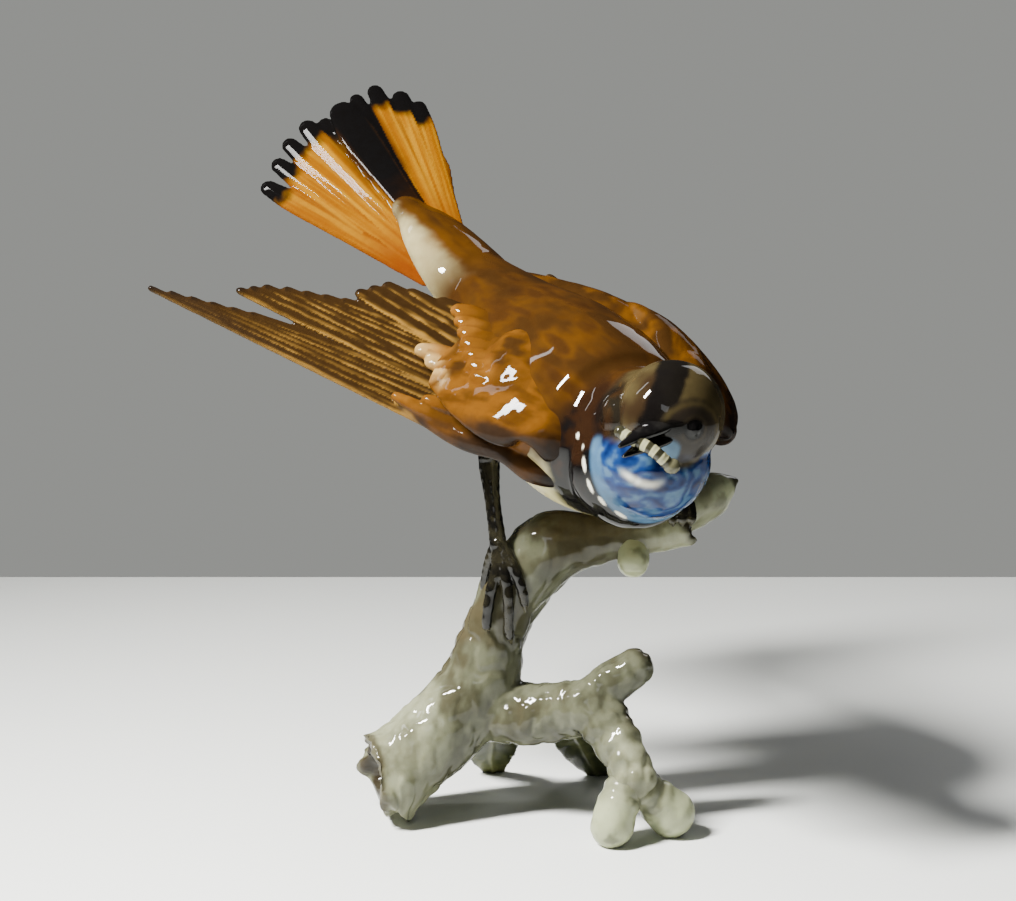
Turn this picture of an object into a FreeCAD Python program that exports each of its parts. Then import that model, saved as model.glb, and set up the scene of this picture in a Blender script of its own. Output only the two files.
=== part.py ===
"""Porcelain figurine of a small songbird on a branch, with a grub in its bill.

Slip-cast and hand-built pieces, luted together with slip before firing: the trunk, its limbs, buds
and leaves, and the bird's body, head, wings, tail, legs, feet, bill and grub. Casts are hollow.
Millimetres, +Z up, +X to the bird's left hand side, -Y to the side that the bird's face looks out of.
The origin is under the middle of the whole piece, on the surface that it stands on. Dimensions are
laid out about the trunk's foot, and CENTRE moves the finished pieces to the origin.
"""

import FreeCAD
import Part

import math
import os

V = FreeCAD.Vector
UP = V(0, 0, 1)
RIGHT = V(1, 0, 0)

# ---------------------------------------------------------------- driving dimensions, mm
WALL = 2.6             # thickness of a slip-cast wall
SEAT = 3.0             # how far a leg or a tang is let into the piece that holds it
VENT_R = 1.2           # firing vents, which let air out of each hollow cast
RING_POINTS = 10       # points round each section

CENTRE = V(2.3, 8.9, 0)  # middle of the outline from above, which becomes the origin

# Main limb: one centre line from the broken butt, up to the knuckle under the bird, and along the
# perch to its snapped end. Trunk and perch are two casts that meet square at the knuckle.
MAIN_LINE = [V(-15.5, -3.4, 7.2), V(-8.5, -1.0, 13.4), V(0, 2, 20.5), V(7.2, 4, 29.5),
             V(10.8, 4.4, 41), V(15.5, 4.6, 51.5), V(23, 5.6, 60.3), V(33, 6, 62.6),
             V(42.3, 4, 63.8), V(50, 2.8, 65), V(55.4, 2, 66)]
MAIN_RADII = [10.4, 9.7, 9.6, 9.2, 7.6, 7.7, 8.2, 6.0, 5.0, 4.2, 3.7]
KNUCKLE = 6            # the section where the trunk ends and the perch begins
BUTT_HOLLOW_R = 5.6    # the rotten heart in the broken butt
PERCH_BUD_LINE = [V(42, 3.2, 61.5), V(41.7, -0.6, 59.2)]
PERCH_BUD_RADII = [3.5, 3.5]
SPUR_LINE = [V(46, 8.5, 66), V(54, 11, 69), V(61, 13, 71.8), V(66.5, 14.5, 73.6)]
SPUR_RADII = [5.2, 5.4, 4.6, 2.2]

# Side branch, its knob, and the forked arm that ends in the two front feet.
SIDE_LINE = [V(7, 3.5, 25), V(16, 1, 23.4), V(24, -2, 24.8), V(32, -5.5, 27.2)]
SIDE_RADII = [7.6, 7.2, 6.9, 6.6]
KNOB_LINE = [V(31, -5.5, 27.5), V(37, -5, 32.6), V(42, -4.6, 36)]
KNOB_RADII = [5.8, 4.8, 4.5]
ARM_LINE = [V(32, -5.8, 27), V(37, -9.5, 22.6), V(40.2, -13, 17.2), V(41.6, -15, 13.2)]
ARM_RADII = [6.4, 5.7, 5.2, 5.4]
LEFT_BUD_LINE = [V(40.6, -14.6, 13.2), V(38.4, -17, 9.2), V(36.7, -19.2, 4.3)]
LEFT_BUD_RADII = [4.4, 4.6, 4.9]
RIGHT_BUD_LINE = [V(42.2, -15, 12.2), V(46, -14, 8.8), V(50, -13, 4.9)]
RIGHT_BUD_RADII = [4.2, 4.7, 5.5]

# Rear leaves: middle line from stalk to tip, half widths, and the side that the blade spreads to.
LEFT_LEAF_LINE = [V(12, 6, 21), V(11.5, 13, 18), V(10.5, 20, 12), V(10, 25.5, 5.5), V(10.5, 29.5, 0.4)]
RIGHT_LEAF_LINE = [V(25, 2, 21), V(27.5, 9, 18.5), V(30.5, 16, 13), V(33, 22, 6.5), V(35.4, 27, 0.6)]
LEAF_HALF_WIDTHS = [1.6, 5.0, 6.6, 5.6, 3.4]
LEAF_HALF_THICK = [1.4, 1.3, 1.2, 1.1, 1.0]

# Bird's body: middle line from rump to breast, with half width and half depth at each section.
BODY_LINE = [V(2.5, 31.5, 121), V(8.5, 25.5, 114.5), V(16.5, 15.5, 106), V(25, 4.5, 99),
             V(32, -6, 93.5), V(37.5, -15.5, 90.5), V(41, -23, 89.8)]
BODY_HALF_WIDTHS = [8.6, 11.5, 17.0, 21.0, 22.0, 19.5, 15.0]
BODY_HALF_DEPTHS = [6.6, 10.0, 15.5, 19.5, 20.5, 18.6, 14.6]
BIRD_LEFT = V(0.75, 0.66, 0)          # the bird's own left hand side

HEAD_CENTRE = V(46.6, -34.6, 97.4)
HEAD_R = 12.4
THROAT_CENTRE = V(42.4, -31.2, 87.4)
THROAT_R = 13.2
BILL_WAY = V(-0.69, -0.70, -0.19)     # where the bill points
BILL_ROOT = V(42.6, -45.0, 97.0)
BILL_LENGTH = 10.6
BILL_HALF_WIDTH = 3.1
BILL_HALF_DEPTH = 1.6
GAPE = V(0.2, 0.2, -2.7)             # from the upper half of the bill to the lower
GRUB_LINE = [V(36.4, -47.0, 96.9), V(38.3, -48.2, 95.9), V(40.4, -49.2, 95.0),
                    V(42.4, -50.0, 94.0), V(44.2, -50.5, 92.6), V(46.0, -50.3, 90.9)]
GRUB_RADII = [1.2, 1.4, 1.45, 1.45, 1.45, 1.5]

# Wings. A forearm has a middle line, half widths, half thicknesses and the way that its width runs.
# Each group of flight feathers has its outer and inner root, its outer and inner tip, the number of
# feathers and the thickness.
RIGHT_ARM = ([V(27.3, -18.6, 95), V(20.3, -13.2, 99), V(12.3, -6.6, 102), V(4.2, -1.0, 104.4)],
             [11.0, 16.0, 17.6, 15.5], [4.0, 5.0, 4.6, 3.6], V(0.25, 0.53, 0.80))
RIGHT_FLIGHTS = [
    (V(3, -9, 90), V(6, -1, 98), V(-63.6, 10.6, 117.6), V(-47, 7.6, 115.6), 5, 2.8),
    (V(4, -3, 96), V(7, 6, 106), V(-43, 9.4, 117.4), V(-25, 8.8, 116.8), 5, 2.8),
    (V(6, 3, 103), V(9, 11, 113), V(-17.4, 11.8, 117.2), V(-6, 12.4, 116.6), 3, 3.0),
]
LEFT_ARM = ([V(55.5, -6, 95.2), V(54.8, 5, 99), V(49.6, 16, 101.4), V(43.4, 25.6, 103.4)],
            [11.0, 14.5, 16.0, 14.0], [4.0, 5.5, 5.0, 3.8], V(-0.62, 0.08, 0.78))
LEFT_FLIGHTS = [
    (V(56, 22, 91), V(50, 24, 99), V(16.5, 70, 106), V(24, 58, 107), 5, 2.8),
    (V(50, 23, 98), V(43, 25, 106), V(24, 54, 109), V(24, 44, 113), 4, 2.8),
    (V(44, 20, 102), V(37, 21, 109), V(19, 41, 116.6), V(23, 36, 118.4), 3, 3.0),
]

# Tail: a fan of feathers from one root, with the middle pair on top.
TAIL_LEFT_ROOT = V(3.5, 25.0, 116.0)
TAIL_RIGHT_ROOT = V(8.5, 29.0, 118.6)
TAIL_LEFT_TIP = V(-44.0, 51.5, 138)      # tip of the outermost feather at each side
TAIL_RIGHT_TIP = V(-5.5, 62.5, 157)
TAIL_FEATHERS = 10
TAIL_BULGE = 8.0                         # how far the middle tips stand past a line between the outer tips
TAIL_THICK = 2.4
MIDDLE_PAIR = (0.42, 0.58)               # where the middle pair lies, as shares of the fan
COVERTS_LINE = [V(7.5, 26, 114.5), V(1.5, 32.0, 121.5), V(-4.2, 36.6, 128.0), V(-9.4, 40.6, 133.4)]
COVERTS_HALF_WIDTHS = [9.5, 9.4, 6.6, 3.2]
COVERTS_HALF_DEPTHS = [7.0, 6.2, 4.6, 2.6]

# Legs and feet: a shank let into the belly, and four toes that grip the bark, the hind toe last.
RIGHT_LEG_LINE = [V(10.0, 7.0, 84.0), V(9.8, 6.8, 79.5), V(10.6, 3.6, 72), V(11.5, 0.2, 65.2)]
RIGHT_LEG_RADII = [2.6, 2.4, 1.9, 1.9]
RIGHT_TOES = [
    [V(11.8, -0.9, 63), V(11.6, -2.6, 58), V(10.2, -3.4, 52.6), V(9.3, -3.6, 46.2), V(9.6, -2.9, 43.6)],
    [V(12.0, -1.0, 63), V(13.2, -3.2, 57.4), V(14.0, -4.0, 51), V(14.2, -4.0, 44.6), V(14.8, -3.2, 41)],
    [V(12.4, -0.9, 63), V(15.0, -3.2, 59), V(17.6, -3.8, 55), V(19.4, -3.2, 51.2)],
    [V(11.6, -0.6, 63), V(9.6, 1.2, 59.4), V(8.0, 3.8, 55.0), V(7.9, 5.4, 51.8)],
]
LEFT_LEG_LINE = [V(46.5, 4.0, 84.5), V(48, 3.6, 80.5), V(50.4, 2.2, 77.2), V(52.2, 1.2, 74.6)]
LEFT_LEG_RADII = [2.6, 2.4, 2.0, 1.9]
LEFT_TOES = [
    [V(52.8, 0.6, 72.2), V(50.8, -0.8, 70.2), V(49.2, -1.9, 66.8), V(49.4, -1.6, 63.0)],
    [V(52.8, 0.4, 72.2), V(52.2, -1.2, 70.4), V(51.9, -2.0, 66.8), V(52.0, -1.8, 63.2)],
    [V(53.0, 0.6, 72.2), V(54.2, -0.8, 70.4), V(54.6, -2.0, 67.0), V(54.4, -2.0, 63.8)],
    [V(52.8, 0.8, 71.9), V(52.4, 3.8, 71.4), V(52.0, 6.6, 69.8), V(51.8, 7.6, 66.8)],
]
TOE_RADII = [1.5, 1.25, 1.15, 1.0, 0.5]


# ---------------------------------------------------------------- shapes
def unit(v):
    return V(v).multiply(1.0 / v.Length)


def tangents(line):
    """The way that a line runs at each of its points."""
    last = len(line) - 1
    return [unit(line[min(i + 1, last)] - line[max(i - 1, 0)]) for i in range(len(line))]


def ring(centre, along, across, half_wide, half_high):
    """Closed smooth section round centre, square to along, with its width near across."""
    wide = unit(across - along * along.dot(across))
    high = along.cross(wide)
    points = []
    for i in range(RING_POINTS):
        a = 2 * math.pi * i / RING_POINTS
        points.append(centre + wide * (half_wide * math.cos(a)) + high * (half_high * math.sin(a)))
    curve = Part.BSplineCurve()
    curve.interpolate(Points=points, PeriodicFlag=True, Parameters=[float(i) for i in range(RING_POINTS + 1)])
    return Part.Wire([curve.toShape()])


def loft(profiles):
    return Part.makeLoft(profiles, True, False)


CAP_STEPS = (0.45, 0.85)      # where a rounded end has sections, as shares of its depth
CAP_LEAD = 1.3                # a section this many radii inside a rounded end keeps it round


def rings(line, wides, highs, across, ways=None):
    ways = ways or tangents(line)
    return [ring(p, t, across, w, h) for p, t, w, h in zip(line, ways, wides, highs)]


def rounded_end(line, ways, wides, highs, across, end):
    """Sections of a rounded end, from inside the solid outwards: end is 0 for the start, -1 for the last."""
    neighbour = 1 if end == 0 else -2
    outward = ways[end] * (-1 if end == 0 else 1)
    depth = wides[end]
    share = min(0.45, CAP_LEAD * depth / (line[end] - line[neighbour]).Length)
    lead = line[end] + (line[neighbour] - line[end]) * share
    lead_wide = wides[end] + (wides[neighbour] - wides[end]) * share
    lead_high = highs[end] + (highs[neighbour] - highs[end]) * share
    sections = [ring(lead, ways[end], across, lead_wide, lead_high),
                ring(line[end], ways[end], across, wides[end], highs[end])]
    for step in CAP_STEPS:
        size = math.sqrt(1 - step * step)
        sections.append(ring(line[end] + outward * (depth * step), ways[end], across,
                             wides[end] * size, highs[end] * size))
    sections.append(Part.Vertex(line[end] + outward * depth))
    return sections


def limb(line, wides, highs=None, across=UP, ends="oo"):
    """Smooth solid along line. Each letter of ends is o for a rounded end or | for a flat one."""
    highs = highs or wides
    ways = tangents(line)
    profiles = rings(line, wides, highs, across)
    if ends[0] == "o":
        profiles = rounded_end(line, ways, wides, highs, across, 0)[::-1] + profiles[1:]
    if ends[1] == "o":
        profiles = profiles[:-1] + rounded_end(line, ways, wides, highs, across, -1)
    return loft(profiles)


def between(a, b, share):
    return a + (b - a) * share


TIP_ROUND = 0.8     # how far a feather's rounded tip stands out, as a share of its half width
NOTCH = 0.92        # width of a feather's tip, as a share of the room that it has


def feathers(outer_root, inner_root, outer_tip, inner_tip, count, thick, bulge=0.0):
    """Flat plate of count feathers side by side, each with a rounded tip. It lies half each side of the
    plane through both tips and the outer root, and bulge moves the middle tips outwards."""
    face = unit((outer_tip - outer_root).cross(inner_tip - outer_root))
    inner_root = inner_root - face * (inner_root - outer_root).dot(face)
    tips = []
    ways = []
    for i in range(count):
        share = i / (count - 1)
        tip = between(outer_tip, inner_tip, share)
        way = unit(tip - between(outer_root, inner_root, share))
        tips.append(tip + way * (bulge * 4 * share * (1 - share)))
        ways.append(way)
    corner = outer_root
    edges = []
    for i, (tip, way) in enumerate(zip(tips, ways)):
        step = tips[min(i + 1, count - 1)] - tips[max(i - 1, 0)]
        side = unit(step - way * step.dot(way))
        half = NOTCH * step.dot(side) / (4 if 0 < i < count - 1 else 2)
        shoulder = tip - way * (half * TIP_ROUND)
        edges.append(Part.LineSegment(corner, shoulder - side * half).toShape())
        edges.append(Part.Arc(shoulder - side * half, tip, shoulder + side * half).toShape())
        corner = shoulder + side * half
    edges.append(Part.LineSegment(corner, inner_root).toShape())
    edges.append(Part.LineSegment(inner_root, outer_root).toShape())
    outline = Part.Face(Part.Wire(edges))
    outline.translate(face * (-thick / 2))
    return outline.extrude(face * thick)


def fused(shapes):
    shape = shapes[0].multiFuse(shapes[1:]) if len(shapes) > 1 else shapes[0]
    return shape.removeSplitter()


def above_ground(shape):
    """What is left of shape once its foot is ground flat."""
    box = shape.BoundBox
    size = 4 * box.DiagonalLength
    ground = Part.makeBox(size, size, size, V(box.Center.x - size / 2, box.Center.y - size / 2, -size))
    return shape.cut(ground)


def inside_of(line, radii):
    """The hollow that draining the slip leaves in a cast limb."""
    return limb(line, [r - WALL for r in radii])


def vent(start, way, length):
    return Part.makeCylinder(VENT_R, length, start, way)


# ---------------------------------------------------------------- branch
def main_limb(first, last):
    """Stretch of the main limb between two of its sections, with flat ends."""
    sections = rings(MAIN_LINE, MAIN_RADII, MAIN_RADII, UP)
    return loft(sections[first:last + 1])


def trunk_hollows():
    way = unit(MAIN_LINE[1] - MAIN_LINE[0])
    heart = Part.makeSphere(BUTT_HOLLOW_R, MAIN_LINE[0] - way * (BUTT_HOLLOW_R * 0.5))
    inner = inside_of(MAIN_LINE[2:KNUCKLE], MAIN_RADII[2:KNUCKLE])
    under = V(MAIN_LINE[2].x, MAIN_LINE[2].y, 0)
    return [heart, inner, vent(under, UP, MAIN_LINE[2].z)]


def leaf(line):
    return above_ground(limb(line, LEAF_HALF_WIDTHS, LEAF_HALF_THICK, across=RIGHT))


def branch():
    """Every piece of the branch, and the outer shapes that the bird's feet stand on."""
    trunk = above_ground(main_limb(0, KNUCKLE))
    perch = main_limb(KNUCKLE, len(MAIN_LINE) - 1)
    side = limb(SIDE_LINE, SIDE_RADII)
    arm = limb(ARM_LINE, ARM_RADII)
    right_bud = above_ground(limb(RIGHT_BUD_LINE, RIGHT_BUD_RADII))
    spur = limb(SPUR_LINE, SPUR_RADII)
    side_vent = vent(SIDE_LINE[0], unit(SIDE_LINE[2] - SIDE_LINE[0]), (SIDE_LINE[2] - SIDE_LINE[0]).Length)
    return {
        "trunk": trunk.cut(trunk_hollows()).cut(side_vent),
        "perch_branch": perch,
        "perch_bud": limb(PERCH_BUD_LINE, PERCH_BUD_RADII).cut(perch),
        "perch_spur": spur.cut(perch),
        "side_branch": side.cut(trunk).cut(inside_of(SIDE_LINE[1:], SIDE_RADII[1:])).cut(side_vent),
        "side_knob": limb(KNOB_LINE, KNOB_RADII).cut([side, arm]),
        "front_arm": arm.cut(side),
        "left_foot_bud": above_ground(limb(LEFT_BUD_LINE, LEFT_BUD_RADII)).cut([arm, right_bud]),
        "right_foot_bud": right_bud.cut(arm),
        "left_leaf": leaf(LEFT_LEAF_LINE).cut([trunk, side]),
        "right_leaf": leaf(RIGHT_LEAF_LINE).cut([trunk, side]),
    }, [trunk, perch]


# ---------------------------------------------------------------- bird
def body_solid(thinner=0.0):
    wides = [w - thinner for w in BODY_HALF_WIDTHS]
    deeps = [d - thinner for d in BODY_HALF_DEPTHS]
    return limb(BODY_LINE, wides, deeps, across=BIRD_LEFT)


def head_solid(thinner=0.0):
    crown = Part.makeSphere(HEAD_R - thinner, HEAD_CENTRE)
    throat = Part.makeSphere(THROAT_R - thinner, THROAT_CENTRE)
    return crown.fuse(throat)


def bill_half(root, length, half_depth):
    """One half of the bill: a tapering cone, wider than it is deep, let into the face."""
    way = unit(BILL_WAY)
    line = [root - way * SEAT, root, root + way * (length * 0.5), root + way * length]
    wides = [BILL_HALF_WIDTH, BILL_HALF_WIDTH, BILL_HALF_WIDTH * 0.62, BILL_HALF_WIDTH * 0.2]
    highs = [half_depth, half_depth, half_depth * 0.75, half_depth * 0.3]
    return limb(line, wides, highs, across=UP.cross(way), ends="||")


def wing(arm, flights):
    return fused([limb(*arm)] + [feathers(*group) for group in flights])


def tail_fan():
    """The fan, and the middle pair of feathers on top of it."""
    roots = (TAIL_LEFT_ROOT, TAIL_RIGHT_ROOT)
    tips = (TAIL_LEFT_TIP, TAIL_RIGHT_TIP)
    fan = feathers(*roots, *tips, TAIL_FEATHERS, TAIL_THICK, TAIL_BULGE)
    out = unit(between(*tips, 0.5) - between(*roots, 0.5))
    lift = unit((TAIL_RIGHT_TIP - TAIL_LEFT_TIP).cross(out)) * (TAIL_THICK * 0.7)
    pair = feathers(between(*roots, 0.25) + lift, between(*roots, 0.75) + lift,
                    between(*tips, MIDDLE_PAIR[0]) + lift + out * TAIL_BULGE,
                    between(*tips, MIDDLE_PAIR[1]) + lift + out * TAIL_BULGE, 2, TAIL_THICK)
    return fused([fan, pair])


def foot(toes):
    return fused([limb(toe, TOE_RADII[:len(toe) - 1] + TOE_RADII[-1:]) for toe in toes])


def bird(bark):
    """Every piece of the bird, which stands on the pieces of branch in bark."""
    body = body_solid()
    head = head_solid().cut(body)
    tail = tail_fan()
    legs = [limb(RIGHT_LEG_LINE, RIGHT_LEG_RADII), limb(LEFT_LEG_LINE, LEFT_LEG_RADII)]
    bills = [bill_half(BILL_ROOT, BILL_LENGTH, BILL_HALF_DEPTH),
             bill_half(BILL_ROOT + GAPE, BILL_LENGTH * 0.9, BILL_HALF_DEPTH * 0.85)]
    grub = limb(GRUB_LINE, GRUB_RADII)
    coverts = limb(COVERTS_LINE, COVERTS_HALF_WIDTHS, COVERTS_HALF_DEPTHS, across=BIRD_LEFT)
    belly = BODY_LINE[2]
    belly_vent = vent(belly - UP * (BODY_HALF_DEPTHS[2] * 2), UP, BODY_HALF_DEPTHS[2] * 2)
    neck_vent = vent(BODY_LINE[-2], unit(HEAD_CENTRE - BODY_LINE[-2]), (HEAD_CENTRE - BODY_LINE[-2]).Length)
    return {
        "body_shell": body.cut([body_solid(WALL), belly_vent, neck_vent, tail] + legs),
        "head_shell": head.cut([head_solid(WALL), neck_vent] + bills),
        "upper_bill": bills[0].cut(grub),
        "lower_bill": bills[1].cut([bills[0], grub]),
        "grub": grub,
        "right_wing": wing(RIGHT_ARM, RIGHT_FLIGHTS).cut(body),
        "left_wing": wing(LEFT_ARM, LEFT_FLIGHTS).cut(body),
        "tail_fan": tail,
        "tail_coverts": coverts.cut([body, tail]),
        "right_leg": legs[0].cut(bark),
        "left_leg": legs[1].cut(bark),
        "right_foot": foot(RIGHT_TOES).cut(bark + legs),
        "left_foot": foot(LEFT_TOES).cut(bark + legs),
    }


def main():
    os.makedirs("parts", exist_ok=True)
    nodes, bark = branch()
    nodes.update(bird(bark))
    for name, shape in nodes.items():
        print(f"{name:16s} solids {len(shape.Solids)} valid {shape.isValid()} volume {shape.Volume:9.1f}")
        shape.translated(-CENTRE).exportStep(f"parts/{name}.step")


main()
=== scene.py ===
"""Looks of a glazed porcelain songbird on a branch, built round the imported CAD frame.

Each visible piece is a mesh sculpted here: smooth tubes and blades are joined, remeshed, smoothed as a
glaze would smooth them, given relief, and painted by colour masks that the materials then break up.
Dimensions are in millimetres, laid out about the trunk's foot, as in the part. LAYOUT_MIDDLE takes them
to the frame's origin.
"""

import math
from itertools import product

import bpy
import numpy as np
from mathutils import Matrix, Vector


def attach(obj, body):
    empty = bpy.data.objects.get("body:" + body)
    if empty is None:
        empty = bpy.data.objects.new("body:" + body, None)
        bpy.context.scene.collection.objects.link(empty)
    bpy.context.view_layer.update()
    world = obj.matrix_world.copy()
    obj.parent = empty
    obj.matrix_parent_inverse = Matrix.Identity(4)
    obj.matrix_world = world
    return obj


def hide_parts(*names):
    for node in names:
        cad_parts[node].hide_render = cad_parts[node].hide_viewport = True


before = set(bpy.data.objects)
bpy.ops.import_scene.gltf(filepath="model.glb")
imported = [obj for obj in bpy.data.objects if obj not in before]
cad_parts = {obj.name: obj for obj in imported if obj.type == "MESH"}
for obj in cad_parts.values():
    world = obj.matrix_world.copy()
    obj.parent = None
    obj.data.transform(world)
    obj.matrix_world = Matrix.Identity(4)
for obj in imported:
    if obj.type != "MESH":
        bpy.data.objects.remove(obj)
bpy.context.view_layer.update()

MM = 0.001
LAYOUT_MIDDLE = np.array([2.3, 8.9, 0.0])
UP = np.array([0.0, 0.0, 1.0])
RIGHT = np.array([1.0, 0.0, 0.0])


# ---------------------------------------------------------------- small maths
def unit(v):
    v = np.asarray(v, float)
    return v / np.linalg.norm(v)


def smooth(low, high, x):
    t = np.clip((np.asarray(x, float) - low) / (high - low), 0, 1)
    return t * t * (3 - 2 * t)


def mix(a, b, share):
    share = np.asarray(share, float)[..., None]
    return np.asarray(a) * (1 - share) + np.asarray(b) * share


def srgb(red, green, blue):
    """Linear colour of an 8 bit display colour."""
    c = np.array([red, green, blue]) / 255
    return np.where(c <= 0.04045, c / 12.92, ((c + 0.055) / 1.055) ** 2.4)


def lattice(cells, seed):
    """Repeatable value from 0 to 1 for each whole-numbered cell."""
    c = cells.astype(np.int64)
    h = c[..., 0] * 374761393 + c[..., 1] * 668265263 + c[..., 2] * 2147483647 + seed * 974711
    h = (h ^ (h >> 13)) * 1274126177
    h = h ^ (h >> 16)
    return (h & 0xFFFF) / 65535.0


def noise(points, size, seed=0, octaves=3):
    """Smooth noise about 0, from -1 to 1, with features of that size in mm."""
    total = np.zeros(len(points))
    strength = 1.0
    weight = 0.0
    for octave in range(octaves):
        p = np.asarray(points) / size * 2 ** octave + 17.3 * octave
        cell = np.floor(p)
        f = p - cell
        f = f * f * (3 - 2 * f)
        value = np.zeros(len(points))
        for corner in product((0, 1), repeat=3):
            share = np.prod(np.where(corner, f, 1 - f), axis=1)
            value += lattice(cell + corner, seed + octave) * share
        total += strength * (2 * value - 1)
        weight += strength
        strength *= 0.5
    return total / weight


def distance(points, place, scale=1):
    return np.linalg.norm((points - np.asarray(place)) * scale, axis=1)


def catmull(rows, count):
    """Smooth curve through rows of numbers, sampled at count points."""
    rows = np.asarray(rows, float)
    padded = np.vstack([2 * rows[0] - rows[1], rows, 2 * rows[-1] - rows[-2]])
    where = np.linspace(0, len(rows) - 1, count)
    i = np.minimum(where.astype(int), len(rows) - 2)
    t = (where - i)[:, None]
    p0, p1, p2, p3 = (padded[i + k] for k in range(4))
    return 0.5 * (2 * p1 + (p2 - p0) * t + (2 * p0 - 5 * p1 + 4 * p2 - p3) * t ** 2
                  + (3 * p1 - p0 - 3 * p2 + p3) * t ** 3)


# ---------------------------------------------------------------- sculpting
def tube(line, wides, highs=None, across=UP, sides=28, per_mm=1.4, ends="oo", blunt=1.0):
    """Closed tube along a smooth curve, as (points, faces). Ends are o, rounded, or |, flat.
    blunt is how far a rounded end reaches, as a share of its half width."""
    highs = wides if highs is None else highs
    rows = np.column_stack([np.asarray(line, float), wides, highs])
    length = np.linalg.norm(np.diff(rows[:, :3], axis=0), axis=1).sum()
    rows = catmull(rows, max(6, int(length * per_mm)))
    centre = rows[:, :3]
    ways = np.gradient(centre, axis=0)
    ways /= np.linalg.norm(ways, axis=1)[:, None]
    stations = [(c, w, a, b) for c, w, a, b in zip(centre, ways, rows[:, 3], rows[:, 4])]
    steps = np.linspace(0, math.pi / 2, 9)[1:-1]

    def cap(station, outward):
        c, w, a, b = station
        depth = max(a, b) * blunt
        return [(c + outward * w * depth * math.sin(s), w, a * math.cos(s), b * math.cos(s)) for s in steps]

    first, last = stations[0], stations[-1]
    poles = [first[0], last[0]]
    if ends[0] == "o":
        stations = cap(first, -1)[::-1] + stations
        poles[0] = first[0] - first[1] * max(first[2:]) * blunt
    if ends[1] == "o":
        stations = stations + cap(last, 1)
        poles[1] = last[0] + last[1] * max(last[2:]) * blunt
    angle = np.linspace(0, 2 * math.pi, sides, endpoint=False)
    points = []
    for c, w, a, b in stations:
        wide = unit(across - w * np.dot(across, w))
        high = np.cross(w, wide)
        points.append(c + np.outer(a * np.cos(angle), wide) + np.outer(b * np.sin(angle), high))
    points = np.vstack(points + [np.array(poles)])
    faces = []
    rings = len(stations)
    for i in range(rings - 1):
        for j in range(sides):
            k = (j + 1) % sides
            faces.append((i * sides + j, i * sides + k, (i + 1) * sides + k, (i + 1) * sides + j))
    start, end = rings * sides, rings * sides + 1
    for j in range(sides):
        k = (j + 1) % sides
        faces.append((start, k, j))
        faces.append((end, (rings - 1) * sides + j, (rings - 1) * sides + k))
    return points, faces


def ball(centre, radii, axes=None, count=40):
    """Closed ellipsoid. axes are its three directions."""
    axes = np.eye(3) if axes is None else np.array([unit(a) for a in axes])
    line = [np.asarray(centre, float) + axes[0] * radii[0] * t for t in (-0.02, 0.0, 0.02)]
    points, faces = tube(line, [1.0] * 3, across=axes[1], sides=count, per_mm=1)
    local = (points - centre) @ axes.T
    local = local / np.maximum(np.linalg.norm(local, axis=1)[:, None], 1e-9)
    return np.asarray(centre) + (local * np.asarray(radii)) @ axes, faces


def added(name, data):
    """New object in the scene."""
    obj = bpy.data.objects.new(name, data)
    bpy.context.scene.collection.objects.link(obj)
    return obj


def mesh_of(name, shapes):
    """One object from several closed shapes in layout millimetres."""
    points, faces = [], []
    offset = 0
    for p, f in shapes:
        points.append(p)
        faces += [tuple(i + offset for i in face) for face in f]
        offset += len(p)
    mesh = bpy.data.meshes.new(name)
    where = (np.vstack(points) - LAYOUT_MIDDLE) * MM
    mesh.from_pydata(where.tolist(), [], faces)
    mesh.validate()
    mesh.update()
    return added(name, mesh)


def applied(obj):
    """Puts what the object's modifiers make into its mesh."""
    graph = bpy.context.evaluated_depsgraph_get()
    mesh = bpy.data.meshes.new_from_object(obj.evaluated_get(graph))
    obj.modifiers.clear()
    old = obj.data
    obj.data = mesh
    bpy.data.meshes.remove(old)
    mesh.name = obj.name
    return obj


def sculpt(name, shapes, voxel, passes):
    """Union of shapes as one skin with about that face size in mm, its creases softened."""
    obj = mesh_of(name, shapes)
    remesh = obj.modifiers.new("skin", "REMESH")
    remesh.mode = "VOXEL"
    remesh.voxel_size = voxel * MM
    remesh.use_smooth_shade = True
    soften = obj.modifiers.new("soften", "SMOOTH")
    soften.factor = 0.5
    soften.iterations = passes
    return applied(obj)


def points_of(obj):
    """Vertices in layout millimetres, and their normals."""
    mesh = obj.data
    count = len(mesh.vertices)
    where = np.empty(count * 3)
    mesh.vertices.foreach_get("co", where)
    normal = np.empty(count * 3)
    mesh.vertex_normals.foreach_get("vector", normal)
    return where.reshape(-1, 3) * 1000 + LAYOUT_MIDDLE, normal.reshape(-1, 3)


def move_points(obj, points):
    obj.data.vertices.foreach_set("co", ((points - LAYOUT_MIDDLE) * MM).ravel())
    obj.data.update()


def relief(obj, heights):
    """Moves each vertex out by heights(points, normals) mm, along its normal."""
    points, normals = points_of(obj)
    move_points(obj, points + normals * heights(points, normals)[:, None])


def paint(obj, colours):
    """Stores colours(points, normals), the painted colour of each vertex, for the material to read."""
    points, normals = points_of(obj)
    layer = obj.data.color_attributes.new("paint", "FLOAT_COLOR", "POINT")
    rgba = np.ones((len(points), 4))
    rgba[:, :3] = np.clip(colours(points, normals), 0, 1)
    layer.data.foreach_set("color", rgba.ravel())
    obj.data.shade_smooth()


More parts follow.
